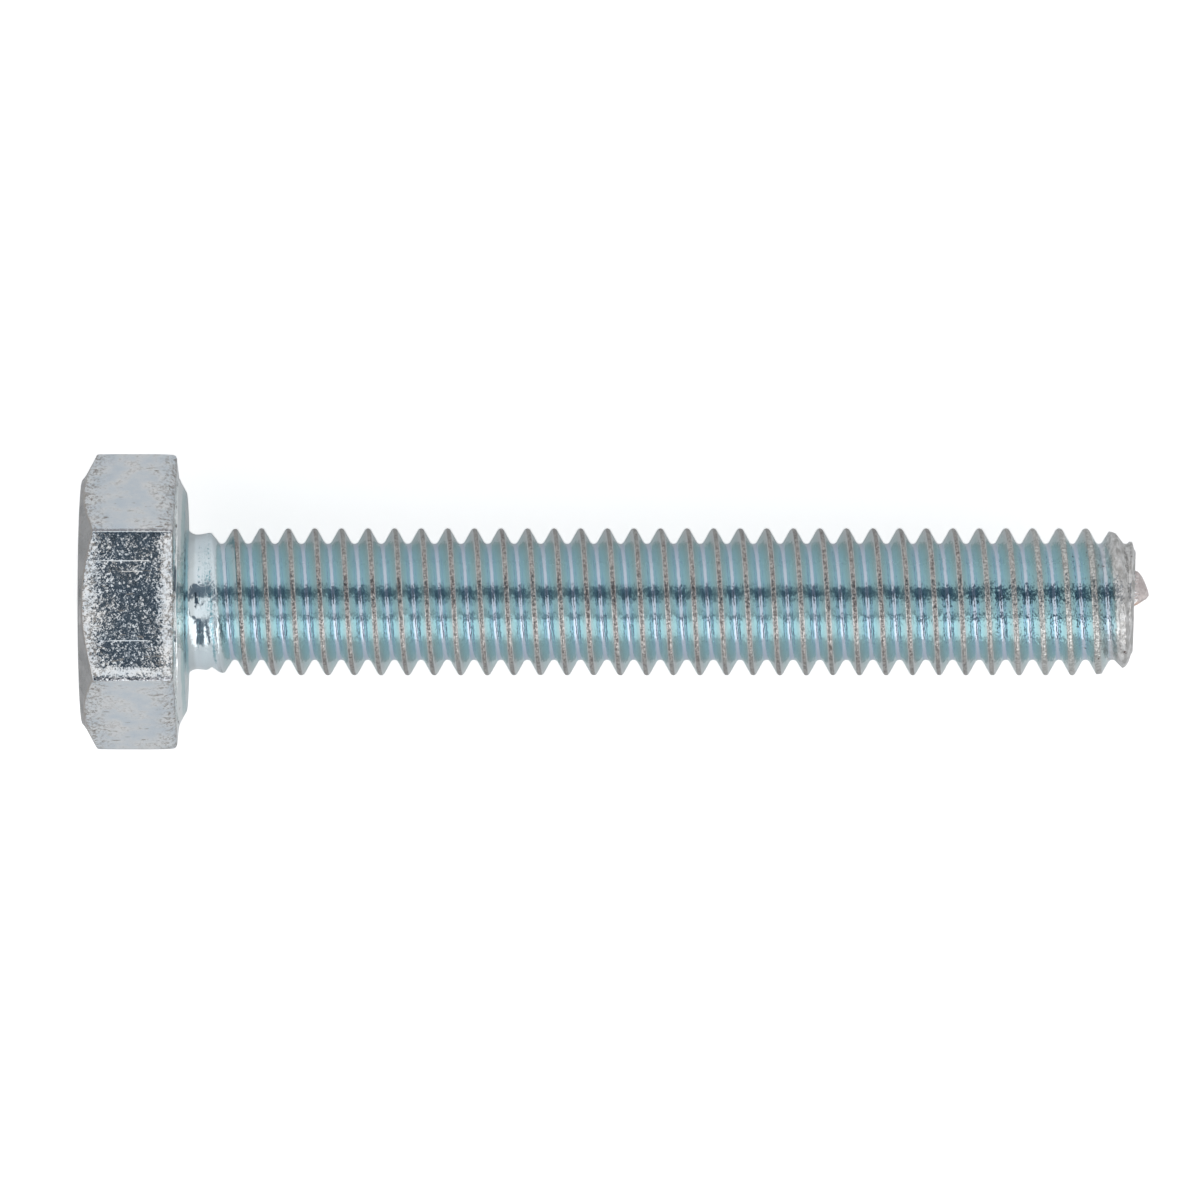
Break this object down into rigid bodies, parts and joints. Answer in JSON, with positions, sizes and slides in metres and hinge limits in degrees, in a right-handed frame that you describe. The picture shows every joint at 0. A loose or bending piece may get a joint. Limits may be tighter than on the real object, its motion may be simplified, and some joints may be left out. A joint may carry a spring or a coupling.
{
  "type": "hex bolt",
  "caption": "Hexagon head set screw with a washer face, a coarse metric thread rolled up to the head and a rounded, sheared tip.",
  "frame": {"origin": "centre of the head's flat top face", "axes": "+X along the screw's axis from the head to the tip, +Z out of one of the hexagon's flats, so a corner of the hexagon points along +Y and another along -Y"},
  "size_m": [0.0282, 0.0078, 0.0068],
  "materials": {
    "zinc_plated_steel": "bright zinc plate with a clear blue passivation"
  },
  "bodies": {
    "root": {"hex_bolt": "zinc_plated_steel"}
  },
  "joints": []
}
